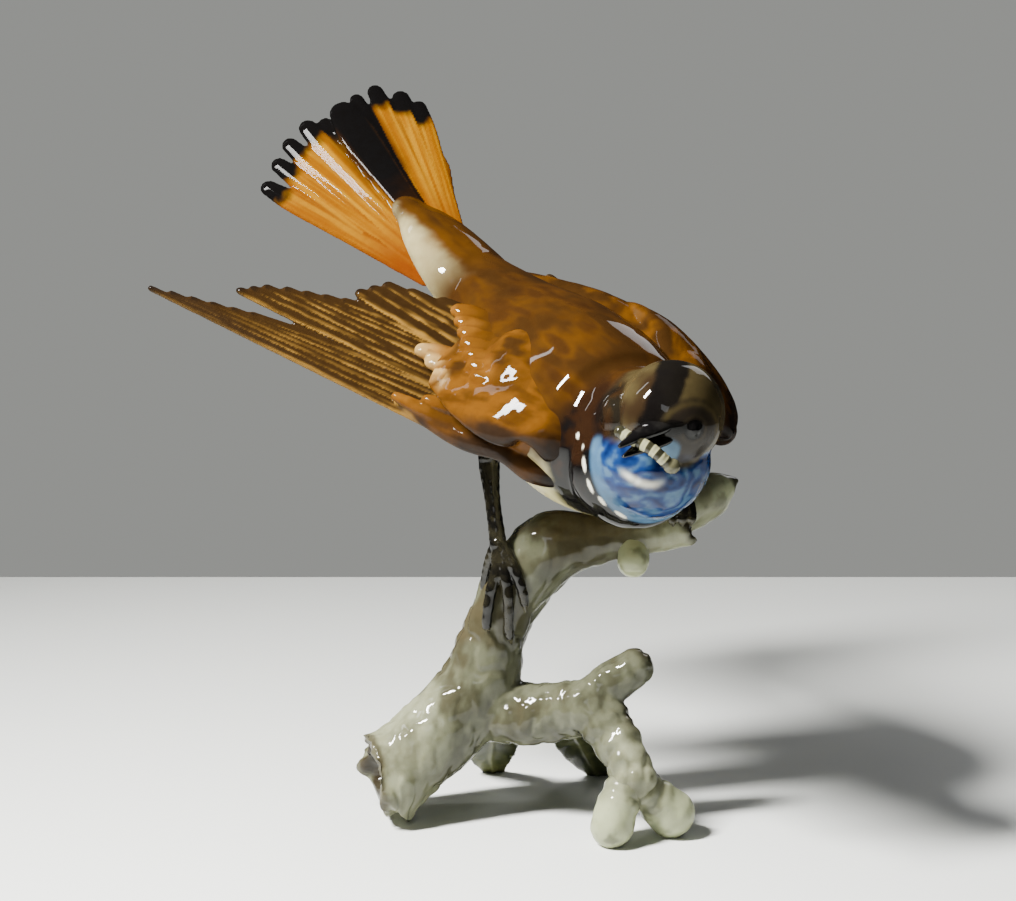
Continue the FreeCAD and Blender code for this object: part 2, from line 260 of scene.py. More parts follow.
def along(points, line):
    """For each point: how far along the polyline it is, from 0 to 1, and the nearest point on it."""
    line = np.asarray(line, float)
    spans = np.diff(line, axis=0)
    lengths = np.linalg.norm(spans, axis=1)
    starts = np.concatenate([[0], np.cumsum(lengths)])
    best = np.full(len(points), np.inf)
    share = np.zeros(len(points))
    nearest = np.zeros((len(points), 3))
    for i, span in enumerate(spans):
        t = np.clip((points - line[i]) @ span / lengths[i] ** 2, 0, 1)
        foot = line[i] + t[:, None] * span
        gap = distance(points, foot)
        closer = gap < best
        best[closer] = gap[closer]
        share[closer] = ((starts[i] + t * lengths[i]) / starts[-1])[closer]
        nearest[closer] = foot[closer]
    return share, nearest


# ---------------------------------------------------------------- materials
BRUSH_FADE = (0.42, 0.68)     # noise values between which a brush mark fades in
ROUGHNESS = (0.16, 0.30)      # of the paint, from patch to patch
ROUGHNESS_MM = 6.0
WAVE_MM = 3.2                 # length and depth of the waves in the glaze
WAVE_DEPTH = 0.001
GLAZE_ROUGHNESS = 0.03
GLAZE_IOR = 1.52


def preset(node, **values):
    """Sets inputs of a node. Their names are written with _ for each space."""
    for name, value in values.items():
        node.inputs[name.replace("_", " ")].default_value = value


def porcelain(name, mottle, mottle_mm, ripple, dark=(0.5, 0.42, 0.34), coat=0.6):
    """Painted colour under a clear glaze. mottle is how far brush marks of mottle_mm turn the colour towards
    dark times itself, ripple is how wavy the glaze is, and coat is how strongly it reflects."""
    material = bpy.data.materials.new(name)
    material.use_nodes = True
    nodes = material.node_tree.nodes
    links = material.node_tree.links
    nodes.clear()
    out = nodes.new("ShaderNodeOutputMaterial")
    shader = nodes.new("ShaderNodeBsdfPrincipled")
    links.new(shader.outputs["BSDF"], out.inputs["Surface"])
    painted = nodes.new("ShaderNodeAttribute")
    painted.attribute_name = "paint"
    where = nodes.new("ShaderNodeTexCoord")

    def texture(size_mm, detail):
        tex = nodes.new("ShaderNodeTexNoise")
        preset(tex, Scale=1 / (size_mm * MM), Detail=detail, Roughness=0.6)
        links.new(where.outputs["Object"], tex.inputs["Vector"])
        return tex

    brush = texture(mottle_mm, 4.0)
    spread = nodes.new("ShaderNodeMapRange")
    preset(spread, From_Min=BRUSH_FADE[0], From_Max=BRUSH_FADE[1], To_Max=mottle)
    links.new(brush.outputs["Fac"], spread.inputs["Value"])
    wash = nodes.new("ShaderNodeMix")
    wash.data_type = "RGBA"
    wash.blend_type = "MULTIPLY"
    wash.inputs["B"].default_value = (*dark, 1)
    links.new(spread.outputs["Result"], wash.inputs["Factor"])
    links.new(painted.outputs["Color"], wash.inputs["A"])
    links.new(wash.outputs["Result"], shader.inputs["Base Color"])

    gloss = texture(ROUGHNESS_MM, 2.0)
    gloss_range = nodes.new("ShaderNodeMapRange")
    preset(gloss_range, To_Min=ROUGHNESS[0], To_Max=ROUGHNESS[1])
    links.new(gloss.outputs["Fac"], gloss_range.inputs["Value"])
    links.new(gloss_range.outputs["Result"], shader.inputs["Roughness"])

    wave = texture(WAVE_MM, 2.0)
    bump = nodes.new("ShaderNodeBump")
    preset(bump, Strength=ripple, Distance=WAVE_DEPTH)
    links.new(wave.outputs["Fac"], bump.inputs["Height"])
    links.new(bump.outputs["Normal"], shader.inputs["Normal"])
    preset(shader, Coat_Weight=coat, Coat_Roughness=GLAZE_ROUGHNESS, Coat_IOR=GLAZE_IOR,
           Specular_IOR_Level=0.0)
    return material


def finished(obj, material, slot, *nodes):
    """Hands a piece over to the frame: its material and the nodes it stands for. slot is not used."""
    obj.data.materials.clear()
    obj.data.materials.append(material)
    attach(obj, "root")
    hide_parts(*nodes)
    return obj


# ---------------------------------------------------------------- camera, lights and stage
CAMERA_TARGET = (14.0, 0.0, 84.0)    # layout mm
CAMERA_TILT = 11                     # degrees down
CAMERA_DISTANCE = 0.52
CAMERA_LENS = 83.8

TABLE_NEAR = -0.38                   # y of the table's edges. The far one is the horizon.
TABLE_FAR = 0.212
TABLE_HALF_WIDTH = 0.40

# Name, place, target, size in metres, power in watts, colour and spread in degrees.
LAMPS = [
    ("key", (-0.37, -0.19, 0.57), (0.0, -0.13, 0.0), (0.08, 0.20), 5.2, (1.0, 0.99, 0.965), 76),
    ("streak", (-0.36, 0.07, 0.52), (-0.01, 0.03, 0.12), (0.03, 0.24), 0.4, (1.0, 1.0, 1.0), 180),
    ("fill", (-0.10, -0.90, 0.55), (0.0, 0.0, 0.08), (0.20, 0.20), 0.5, (0.95, 0.98, 1.0), 180),
    ("back", (0.50, 0.85, 0.60), (0.0, 0.0, 0.09), (0.40, 0.40), 1.7, (0.97, 0.98, 1.0), 180),
]
SURROUNDINGS = (0.60, 0.62, 0.62)
SURROUNDINGS_STRENGTH = 0.055
BACKDROP = (0.305, 0.31, 0.295)


def look_at(obj, target):
    way = Vector(target) - obj.location
    obj.rotation_euler = way.to_track_quat("-Z", "Y").to_euler()


def set_camera():
    data = bpy.data.cameras.new("camera")
    data.sensor_width = 36
    data.lens = CAMERA_LENS
    data.dof.use_dof = False
    data.clip_start = 0.01
    camera = added("camera", data)
    target = (np.array(CAMERA_TARGET) - LAYOUT_MIDDLE) * MM
    tilt = math.radians(CAMERA_TILT)
    camera.location = target + CAMERA_DISTANCE * np.array([0, -math.cos(tilt), math.sin(tilt)])
    look_at(camera, target)
    bpy.context.scene.camera = camera


def set_table():
    """Pale table top, which the figurine stands on."""
    material = bpy.data.materials.new("table")
    material.use_nodes = True
    shader = material.node_tree.nodes["Principled BSDF"]
    preset(shader, Base_Color=(*srgb(226, 228, 224), 1), Roughness=0.42)
    mesh = bpy.data.meshes.new("table")
    corners = [(-TABLE_HALF_WIDTH, TABLE_NEAR, 0), (TABLE_HALF_WIDTH, TABLE_NEAR, 0),
               (TABLE_HALF_WIDTH, TABLE_FAR, 0), (-TABLE_HALF_WIDTH, TABLE_FAR, 0)]
    mesh.from_pydata(corners, [], [(0, 1, 2, 3)])
    mesh.materials.append(material)
    added("table", mesh)


def set_lamps():
    for name, place, target, size, power, colour, spread in LAMPS:
        data = bpy.data.lights.new(name, "AREA")
        data.shape = "RECTANGLE"
        data.size, data.size_y = size
        data.energy = power
        data.color = colour
        data.spread = math.radians(spread)
        lamp = added(name, data)
        lamp.location = place
        look_at(lamp, target)


def set_backdrop():
    """Dim grey surroundings, which the camera sees as a plain paler grey."""
    world = bpy.data.worlds.new("studio")
    world.use_nodes = True
    nodes = world.node_tree.nodes
    links = world.node_tree.links
    dim = nodes["Background"]
    preset(dim, Color=(*SURROUNDINGS, 1), Strength=SURROUNDINGS_STRENGTH)
    shown = nodes.new("ShaderNodeBackground")
    preset(shown, Color=(*BACKDROP, 1))
    path = nodes.new("ShaderNodeLightPath")
    both = nodes.new("ShaderNodeMixShader")
    links.new(path.outputs["Is Camera Ray"], both.inputs["Fac"])
    links.new(dim.outputs["Background"], both.inputs[1])
    links.new(shown.outputs["Background"], both.inputs[2])
    links.new(both.outputs["Shader"], nodes["World Output"].inputs["Surface"])
    bpy.context.scene.world = world


# ---------------------------------------------------------------- branch
MAIN_LINE = [(-15.5, -3.4, 7.2), (-8.5, -1.0, 13.4), (0, 2, 20.5), (7.2, 4, 29.5), (10.8, 4.4, 41),
             (15.5, 4.6, 51.5), (23, 5.6, 60.3), (33, 6, 62.6), (42.3, 4, 63.8), (50, 2.8, 65),
             (55.4, 2, 66)]
MAIN_RADII = [10.4, 9.7, 9.6, 9.2, 7.6, 7.7, 8.2, 6.0, 5.0, 4.2, 3.7]
SIDE_LINE = [(7, 3.5, 25), (16, 1, 23.4), (24, -2, 24.8), (32, -5.5, 27.2)]
SIDE_RADII = [7.6, 7.2, 6.9, 6.6]
KNOB_LINE = [(31, -5.5, 27.5), (37, -5, 32.6), (42, -4.6, 36)]
KNOB_RADII = [5.8, 4.8, 4.5]
ARM_LINE = [(32, -5.8, 27), (37, -9.5, 22.6), (40.2, -13, 17.2), (41.6, -15, 13.2)]
ARM_RADII = [6.4, 5.7, 5.2, 5.4]
LEFT_BUD_LINE = [(40.6, -14.6, 13.2), (38.4, -17, 9.2), (36.7, -19.2, 4.3)]
LEFT_BUD_RADII = [4.4, 4.6, 4.9]
RIGHT_BUD_LINE = [(42.2, -15, 12.2), (46, -14, 8.8), (50, -13, 4.9)]
RIGHT_BUD_RADII = [4.2, 4.7, 5.5]
SPUR_LINE = [(46, 8.5, 66), (54, 11, 69), (60.5, 13, 72.0), (65.4, 14.5, 74.2)]
SPUR_RADII = [5.2, 5.9, 5.0, 1.0]
PERCH_BUD_LINE = [(42.2, 3.0, 63.0), (41.9, 0.6, 60.6), (41.7, -0.6, 59.0)]
PERCH_BUD_RADII = [3.4, 3.5, 3.6]
LEAF_LINES = {
    "left_leaf": [(12, 6, 21), (11.5, 13, 18), (10.5, 20, 12), (10, 25.5, 5.5), (10.5, 29.5, 0.6)],
    "right_leaf": [(25, 2, 21), (27.5, 9, 18.5), (30.5, 16, 13), (33, 22, 6.5), (35.4, 27, 0.8)],
}
LEAF_WIDES = [1.6, 5.0, 6.6, 5.6, 3.0]
LEAF_HIGHS = [1.4, 1.1, 1.0, 0.9, 0.8]

# The broken butt: its line and radii, the middle of the broken face, and the way in from there.
BUTT_LINE = [(-16.6, -3.6, 10.0), (-11.5, -2.4, 11.6), (-6.0, -0.6, 14.6)]
BUTT_RADII = [9.7, 9.4, 8.6]
BUTT_MIDDLE = np.array([-16.7, -3.6, 9.8])
BUTT_WAY = unit((0.95, 0.30, 0.05))

# Bark as lit and as shaded: painted light and shade, which noise also mixes as a varying tone.
LIT_PALE_BARK = srgb(126, 128, 104)
WARM_BARK = srgb(64, 54, 36)
SHADED_GREY_BARK = srgb(78, 79, 62)
DARK_BARK = srgb(30, 22, 14)
BUD = srgb(162, 167, 132)
LEAF = srgb(52, 56, 34)


def grounded(obj):
    """Flattens what reaches below the ground, as the foundry grinds a foot flat."""
    points, _ = points_of(obj)
    points[:, 2] = np.maximum(points[:, 2], 0.0)
    move_points(obj, points)


def bark_height(points, normals):
    """Lumps all over, grooves that run up the trunk, and wrinkles round the arm."""
    lumps = 0.50 * noise(points, 5.5, 3, 2) + 0.10 * noise(points, 2.0, 4, 2)
    grooves = -0.45 * smooth(0.30, 0.05, np.abs(noise(points * (1, 1, 0.55), 4.2, 5, 2)))
    share, _ = along(points, ARM_LINE)
    near_arm = smooth(9.0, 6.5, distance(points, (38.5, -11.5, 19.5)) * 0.8)
    wrinkle = near_arm * 0.22 * np.sin(share * 26 + noise(points, 5, 8, 1) * 2)
    return lumps + wrinkle + grooves * smooth(58, 44, points[:, 2]) * 0.5 + grooves * 0.3


def bark_paint(points, normals):
    """Grey-green glaze, washed with brown on its upper sides and round the trunk, with painted shade."""
    tone = noise(points, 11.0, 11, 3)
    fine = noise(points * (1, 1, 0.6), 3.4, 12, 3)
    x = points[:, 0]
    z = points[:, 2]
    upper = smooth(-0.3, 0.8, normals[:, 2])
    high = smooth(24, 52, z)
    at_butt = smooth(4, -7, x)
    on_arm = smooth(33, 39, x) * smooth(27, 22, z)
    at_perch_end = smooth(34, 50, x) * smooth(50, 60, z)
    # The butt, the arm and the perch's end stay pale; all else is painted greyer and darker as painted shade.
    pale_ends = np.maximum(np.maximum(at_butt, on_arm), at_perch_end)
    grey = smooth(-0.4, 0.4, fine + 0.5 * tone) * 0.7 + 0.45 * (1 - pale_ends)
    colour = mix(LIT_PALE_BARK, SHADED_GREY_BARK, np.clip(grey, 0, 1))
    # Painted shade: darker away from the pale ends.
    colour = colour * (1 - 0.42 * (1 - pale_ends))[:, None]
    brown = smooth(-0.2, 0.4, tone + 0.4 * fine) * (0.35 + 0.65 * upper)
    brown = brown * (0.5 + 0.5 * high) * (1 - 0.5 * pale_ends)
    return mix(colour, WARM_BARK, np.clip(brown, 0, 1) * 0.8)


def butt_place(points):
    """How far each point is in from the broken face of the butt, and from the middle line of the hollow."""
    away = points - BUTT_MIDDLE
    depth = away @ BUTT_WAY
    return depth, np.linalg.norm(away - depth[:, None] * BUTT_WAY, axis=1)


def perch_end(points):
    """The way that the perch's snapped end faces, how far past it each point is, and how far from it."""
    end_way = unit(np.array(MAIN_LINE[-1]) - np.array(MAIN_LINE[-2]))
    end = np.array(MAIN_LINE[-1])
    return end_way, (points - end) @ end_way, distance(points, end)


def make_branch():
    shapes = [tube(MAIN_LINE, MAIN_RADII, sides=40, ends="||"),
              tube(BUTT_LINE, BUTT_RADII, sides=40, ends="|o"),
              tube(SIDE_LINE, SIDE_RADII), tube(KNOB_LINE, KNOB_RADII), tube(ARM_LINE, ARM_RADII)]
    obj = sculpt("branch", shapes, 0.5, 10)
    points, _ = points_of(obj)
    depth, radius = butt_place(points)
    points += np.outer(np.maximum(-depth, 0), BUTT_WAY)
    ragged = noise(points, 3.2, 21, 2)
    splinters = noise(points * (0.35, 1, 1), 1.9, 23, 2)
    face = smooth(1.8, 0.2, depth)
    bowl = smooth(8.4, 3.6, radius + 1.4 * ragged) * 6.5
    points += np.outer(face * (bowl + 1.5 * ragged + 1.2 * splinters), BUTT_WAY)
    end_way, past, away = perch_end(points)
    at_end = smooth(-1.6, -0.2, past) * (away < 6)
    jag = 1.8 * noise(points, 2.2, 22, 2) + 0.28 * (points[:, 2] - MAIN_LINE[-1][2])
    points = points + np.outer(at_end * jag, end_way)
    move_points(obj, points)
    relief(obj, bark_height)
    grounded(obj)

    def colours(points, normals):
        colour = bark_paint(points, normals)
        depth, radius = butt_place(points)
        blot = noise(points, 2.4, 31, 2)
        inside = smooth(8.8, 7.4, radius + 0.6 * blot) * smooth(10.5, 8.5, depth)
        colour = mix(colour, DARK_BARK, np.clip(inside, 0, 1) * 0.92)
        rim = smooth(1.8, 0.4, depth + 0.9 * blot)
        colour = mix(colour, WARM_BARK * 0.6, np.clip(rim, 0, 1) * 0.75)
        _, past, away = perch_end(points)
        uneven = 1.2 * noise(points, 2, 34, 2) + 0.35 * (points[:, 2] - MAIN_LINE[-1][2])
        tip = smooth(-2.6, -0.6, past + uneven) * (away < 8)
        return mix(colour, DARK_BARK, tip * 0.92)

    paint(obj, colours)
    bark = porcelain("bark", mottle=0.40, mottle_mm=2.2, dark=(0.62, 0.58, 0.45), ripple=0.08, coat=0.5)
    finished(obj, bark, "bark_glaze", "trunk", "perch_branch", "side_branch", "side_knob", "front_arm")


def make_buds():
    material = porcelain("bud", mottle=0.18, mottle_mm=2.0, dark=(0.7, 0.7, 0.55), ripple=0.12)
    buds = {"left_foot_bud": (LEFT_BUD_LINE, LEFT_BUD_RADII),
            "right_foot_bud": (RIGHT_BUD_LINE, RIGHT_BUD_RADII),
            "perch_bud": (PERCH_BUD_LINE, PERCH_BUD_RADII),
            "perch_spur": (SPUR_LINE, SPUR_RADII)}
    for name, (line, radii) in buds.items():
        obj = sculpt(name + "_piece", [tube(line, radii)], 0.4, 6)
        tip = np.array(line[-1])
        dimple = tip + (tip - np.array(line[-2])) * 0.55
        ring_height = 0.20 if name.endswith("foot_bud") else 0.0

        def heights(points, normals, tip=tip, ring_height=ring_height):
            reach = distance(points, tip)
            waves = np.sin(reach * 2.1 + 2 * noise(points, 5.0, 44, 2))
            rings = ring_height * waves * smooth(5.0, 7.0, reach)
            return rings + 0.3 * noise(points, 4.5, 41, 2) + 0.1 * noise(points, 1.6, 42, 2)

        relief(obj, heights)
        grounded(obj)

        def colours(points, normals, tip=tip, dimple=dimple, spur=name == "perch_spur"):
            reach = distance(points, tip)
            pale = smooth(9, 5, reach)
            colour = mix(bark_paint(points, normals), BUD, np.clip(0.10 + 0.80 * pale, 0, 1) * 0.8)
            blots = smooth(0.1, 0.6, noise(points, 2.6, 45, 3))
            colour = mix(colour, SHADED_GREY_BARK, blots * 0.7)
            if spur:
                point = smooth(2.6, 1.4, reach + 0.6 * noise(points, 1.5, 43, 2))
                return mix(colour, DARK_BARK, point * 0.8)
            eye = smooth(1.9, 0.7, distance(points, dimple))
            return mix(colour, SHADED_GREY_BARK, eye * 0.3)

        paint(obj, colours)
        finished(obj, material, "bud_glaze", name)


def make_leaves():
    material = porcelain("leaf", mottle=0.4, mottle_mm=2.6, dark=(0.5, 0.55, 0.4), ripple=0.1)
    for name, line in LEAF_LINES.items():
        blade = tube(line, LEAF_WIDES, LEAF_HIGHS, across=RIGHT)
        obj = sculpt(name + "_piece", [blade, tube(line[:3], [1.3, 1.2, 0.9], across=RIGHT)], 0.35, 4)
        middle = np.array(line)

        def heights(points, normals, middle=middle):
            share, foot = along(points, middle)
            side = (points - foot)[:, 0]
            veins = 0.08 * np.sin((share * 16 - np.abs(side) * 0.55) * 2.2)
            return 0.3 * np.exp(-(side / 0.55) ** 2) + veins * smooth(0.4, 1.6, np.abs(side))

        relief(obj, heights)
        grounded(obj)

        def colours(points, normals, middle=middle):
            share, foot = along(points, middle)
            rib = np.exp(-((points - foot)[:, 0] / 0.7) ** 2)
            colour = mix(LEAF, srgb(74, 76, 44), smooth(0.0, 0.5, noise(points, 4, 51, 3)))
            return mix(colour, srgb(108, 110, 72), rib * 0.5)

        paint(obj, colours)
        finished(obj, material, "leaf_glaze", name)


# ---------------------------------------------------------------- bird: body, head and rump
BODY_LINE = [(2.5, 31.5, 121), (8.5, 25.5, 114.5), (16.5, 15.5, 106), (25, 4.5, 99), (32, -6, 93.5),
             (37.5, -15.5, 90.5), (41, -23, 89.8)]
BODY_WIDES = [8.6, 11.5, 16.6, 19.8, 20.6, 19.0, 15.0]
BODY_DEPTHS = [6.6, 10.0, 15.5, 19.5, 20.5, 18.6, 14.6]
BIRD_LEFT = unit((0.75, 0.66, 0))
COVERTS_LINE = [(8.5, 25, 115), (1.5, 32.0, 122.5), (-4.2, 37.0, 128.6), (-8.4, 40.2, 132.6)]
COVERTS_WIDES = [11.5, 10.4, 8.2, 5.0]
COVERTS_DEPTHS = [8.0, 6.4, 4.6, 2.8]
HEAD = np.array([47.2, -34.2, 98.2])
THROAT = np.array([43.6, -31.5, 88.2])
COLLAR = np.array([40.5, -25.0, 86.5])
CHEEK = np.array([38.8, -33.0, 97.2])
EYE = np.array([51.6, -44.6, 96.7])
LORES = (46.5, -46.0, 97.4)
UNDER_CHEEK = (46.4, -44.0, 92.3)
SWIRL_MIDDLE = (40.0, -44.0, 94.0)
CRESCENT_MIDDLE = (42.4, -44.5, 92.6)
BILL_WAY = unit((-0.69, -0.70, -0.19))
FACE_UP = unit(UP - BILL_WAY * BILL_WAY[2])
FACE_LEFT = np.cross(BILL_WAY, FACE_UP) * -1

BROWN = srgb(47, 29, 10)
GOLD = srgb(88, 54, 13)
UMBER = srgb(31, 18, 9)
CREAM = srgb(186, 178, 132)
BLACK = srgb(11, 10, 10)
CROWN = srgb(58, 50, 30)
SLATE = srgb(30, 29, 27)
BLUE = srgb(19, 44, 88)
DEEP_BLUE = srgb(8, 20, 58)
PALE_BLUE = srgb(66, 95, 118)
WHITE = srgb(216, 214, 196)

# Middles of the white dashes round the collar, and how long each is.
DASHES = [((29.4, -34.1, 87.6), 2.0), ((30.6, -34.9, 83.2), 2.0), ((33.1, -35.6, 80.1), 1.6),
          ((37.0, -35.4, 77.2), 1.8), ((29.0, -32.9, 91.2), 0.9), ((28.2, -30.5, 93.0), 0.7)]


def make_body():
    neck = tube([(34, -9, 94), (40, -21, 93), tuple(HEAD - (0.5, -1, 0.5))], [17, 13.5, 10.2], sides=40)
    shapes = [tube(BODY_LINE, BODY_WIDES, BODY_DEPTHS, across=BIRD_LEFT, sides=48),
              tube(COVERTS_LINE, COVERTS_WIDES, COVERTS_DEPTHS, across=BIRD_LEFT, sides=40),
              ball(HEAD, (11.8, 10.9, 11.2), (BILL_WAY, FACE_LEFT, FACE_UP)), neck,
              ball(THROAT, (12.3, 12.2, 12.2)), ball(COLLAR, (14.2, 14.2, 14.2)),
              ball(CHEEK, (6.0, 6.0, 6.0))]
    obj = sculpt("plumage", shapes, 0.42, 22)

    def heights(points, normals):
        gap = distance(points, EYE)
        eyeball = 0.7 * smooth(2.0, 0.4, gap)
        lids = 0.05 * np.exp(-((gap - 2.6) / 0.6) ** 2) + 0.10 * np.exp(-((gap - 6.8) / 0.8) ** 2)
        throat = smooth(13.2, 12.4, distance(points, THROAT)) * smooth(96, 92, points[:, 2])
        feathery = throat * 0.07 * np.sin(swirl_rings(points) * 1.9)
        return eyeball + lids + feathery + 0.12 * noise(points, 5, 61, 2)

    relief(obj, heights)
    paint(obj, body_paint)
    skin = porcelain("plumage", mottle=0.25, mottle_mm=3.0, dark=(0.62, 0.5, 0.42), ripple=0.05,
                     coat=0.45)
    finished(obj, skin, "plumage_glaze", "body_shell", "head_shell", "tail_coverts")


def swirl_rings(points):
    """Rings round the gape, pushed about by noise, as the throat's feathers are brushed."""
    bend = noise(points, 6.0, 74, 3)
    return distance(points, SWIRL_MIDDLE) + 5.0 * bend


def back_paint(points, out, tone, fine):
    """Orange-brown back, streaked along the bird, over a cream belly. out is away from the body's line."""
    axis = unit(np.array(BODY_LINE[-1]) - np.array(BODY_LINE[0]))
    back = unit(np.cross(BIRD_LEFT, axis))
    back = back if back[2] > 0 else -back
    streak = noise(np.column_stack([points @ axis * 0.35, points @ BIRD_LEFT, points @ back]), 4.0, 75, 3)
    mantle = mix(BROWN, GOLD, smooth(-0.3, 0.6, 0.6 * tone + 0.9 * streak) * 0.6)
    mantle = mix(mantle, UMBER, smooth(0.0, 0.45, streak) * 0.65)
    belly = mix(CREAM, srgb(150, 132, 82), smooth(0.1, 0.6, tone) * 0.5)
    colour = mix(belly, mantle, smooth(-0.45, -0.15, out @ back + 0.08 * fine))
    side = (points - np.array([0.0, 34.0, 124.0])) @ BIRD_LEFT
    rump = smooth(16, 28, points[:, 1])
    colour = mix(colour, mix(GOLD, BROWN, smooth(-0.3, 0.4, streak)), rump * 0.45)
    patch = mix(CREAM, GOLD, 0.25 + 0.35 * smooth(0.0, 0.6, tone))
    return mix(colour, patch, rump * smooth(-5.0, -9.5, side + 1.2 * fine) * 0.85)


def throat_paint(points, fine):
    """Cobalt brushed in rings, paler at its rim, with one white crescent."""
    rings = swirl_rings(points)
    brushed = np.sin(rings * 1.9) * 0.35 + noise(points * (1, 1, 1.4), 2.6, 73, 3)
    blue = mix(BLUE, DEEP_BLUE, smooth(-0.1, 0.7, brushed))
    blue = mix(blue, PALE_BLUE, smooth(0.05, 0.7, -brushed) * 0.8)
    rim = distance(points, COLLAR)
    blue = mix(blue, PALE_BLUE, smooth(15.2, 14.3, rim + 0.5 * fine) * 0.75)
    arc = distance(points, CRESCENT_MIDDLE)
    low = smooth(88.8, 86.6, points[:, 2])
    between = smooth(46.5, 43.0, points[:, 0]) * smooth(33.0, 35.5, points[:, 0])
    crescent = np.exp(-((arc - 7.3 - 0.4 * fine) / 0.75) ** 2) * low * between
    return mix(blue, WHITE, crescent * 0.75)


def eye_paint(colour, points, fine, head):
    """Black eye in a dark brown mask, with a thin olive line round the mask."""
    gap = distance(points, EYE)
    wide = distance(points, EYE - (0.4, 0.0, 1.4))
    mask = np.maximum(head, smooth(104, 100, points[:, 2]) * smooth(-30, -33, points[:, 1]))
    colour = mix(colour, mix(SLATE, UMBER, 0.3), smooth(8.4, 6.8, wide + 0.5 * fine) * mask * 0.9)
    colour = mix(colour, srgb(76, 66, 38), np.exp(-((wide - 6.9 - 0.4 * fine) / 0.6) ** 2) * mask * 0.5)
    colour = mix(colour, srgb(60, 52, 36), np.exp(-((gap - 2.9) / 0.3) ** 2) * 0.3)
    return mix(colour, BLACK, smooth(2.5, 2.0, gap))


def body_paint(points, normals):
    _, foot = along(points, BODY_LINE)
    out = points - foot
    out = out / np.maximum(np.linalg.norm(out, axis=1)[:, None], 1e-6)
    tone = noise(points, 7.0, 71, 3)
    fine = noise(points, 2.8, 72, 3)
    colour = back_paint(points, out, tone, fine)

    from_collar = distance(points, COLLAR)
    front = smooth(-13.0, -19.0, points[:, 1] + 2.0 * fine)
    collar = smooth(20.5, 17.0, from_collar + 1.0 * fine) * front
    dark = mix(UMBER, BLACK, smooth(-0.4, 0.2, fine + 0.5 * tone + 0.05 * (90 - points[:, 2])))
    colour = mix(colour, dark, collar)

    from_throat = distance(points, THROAT)
    from_head = distance(points, HEAD)
    face_top = (points - HEAD) @ FACE_UP
    head = smooth(15.0, 12.6, from_head) * smooth(-18, -26, points[:, 1])
    crown = mix(CROWN, srgb(38, 28, 17), smooth(-0.1, 0.5, tone))
    colour = mix(colour, crown, head * smooth(-9.5, -6.5, face_top))
    cheek = smooth(8.2, 6.2, distance(points, CHEEK))
    colour = mix(colour, mix(BLACK, UMBER, smooth(0.0, 0.5, fine)), cheek * 0.85)
    throat = smooth(13.6, 12.9, from_throat) * smooth(12.9, 13.9, from_collar)
    under = smooth(-1.5, -3.5, face_top + 0.5 * fine)
    colour = mix(colour, throat_paint(points, fine), throat * under)
    for middle, reach in DASHES:
        away = points - np.array(middle)
        lengthways = unit(np.cross(np.array(middle) - COLLAR, THROAT - COLLAR))
        run = away @ lengthways
        spread = np.sqrt(np.maximum((away ** 2).sum(axis=1) - run ** 2, 0))
        colour = mix(colour, WHITE, smooth(1.2, 0.8, np.hypot(run / reach, spread / 0.6)))

    stripe_middle = 43.2 + (points[:, 2] - 98.0) * 0.42 + 0.7 * fine
    stripe = smooth(4.0, 2.8, np.abs(points[:, 0] - stripe_middle)) * smooth(-30, -34, points[:, 1])
    stripe = stripe * smooth(94.5, 96.5, points[:, 2]) * head
    colour = mix(colour, BLACK, stripe * 0.95)
    colour = eye_paint(colour, points, fine, head)
    lores = distance(points, LORES, (0.55, 1, 1.5))
    colour = mix(colour, BLACK, smooth(3.4, 1.8, lores) * 0.9)
    pale = distance(points, UNDER_CHEEK, (1.0, 0.7, 0.75))
    return mix(colour, PALE_BLUE, smooth(2.6, 1.5, pale + 0.4 * fine) * 0.9)


# ---------------------------------------------------------------- bill and grub
BILL_ROOT = np.array([42.6, -45.0, 97.0])
BILL_LENGTH = 9.4
GAPE = np.array([0.2, 0.2, -2.7])
GRUB_LINE = [(36.4, -47.0, 96.9), (38.3, -48.2, 95.9), (40.4, -49.2, 95.0), (42.4, -50.0, 94.0),
             (44.2, -50.5, 92.6), (46.0, -50.3, 90.9)]


def make_bill():
    material = porcelain("bill", mottle=0.2, mottle_mm=2.0, ripple=0.03)
    # Root, length, half depth and how far the tip hooks down.
    halves = {"upper_bill": (BILL_ROOT, BILL_LENGTH, 1.6, 0.35),
              "lower_bill": (BILL_ROOT + GAPE, BILL_LENGTH * 0.9, 1.25, 0.0)}
    for name, (root, length, deep, droop) in halves.items():
        line = [root - BILL_WAY * 3, root, root + BILL_WAY * length * 0.5,
                root + BILL_WAY * length - UP * droop]
        shape = tube(line, [3.2, 3.1, 1.9, 0.5], [deep, deep, deep * 0.75, deep * 0.3],
                     across=FACE_LEFT, sides=32, per_mm=3)
        obj = sculpt(name + "_piece", [shape], 0.2, 4)
        paint(obj, lambda p, n: mix(BLACK, SLATE, smooth(0.0, 0.6, noise(p, 2, 81, 2)) * 0.5))
        finished(obj, material, "bill_glaze", name)


def make_grub():
    """Segmented grub with dark cross stripes and a round glossy head at its lower end."""
    line = catmull(GRUB_LINE, 12)
    beads = [ball(p, (1.32, 1.32, 1.32), count=20) for p in line[:-1]]
    beads.append(ball(line[-1] + (0.5, 0.2, -0.3), (1.75, 1.6, 1.6), count=24))
    obj = sculpt("grub_piece", beads + [tube(GRUB_LINE, [1.25] * 6, sides=20)], 0.16, 3)

    def colours(points, normals):
        share, _ = along(points, line)
        stripe = smooth(-0.25, 0.3, np.sin(share * 2 * math.pi * 5.5 + 0.6))
        colour = mix(srgb(150, 148, 114), srgb(26, 24, 15), stripe * 0.95)
        return mix(colour, srgb(70, 68, 50), smooth(0.9, 0.95, share) * 0.9)

    paint(obj, colours)
    finished(obj, porcelain("grub", mottle=0.2, mottle_mm=1.0, ripple=0.03), "grub_glaze", "grub")


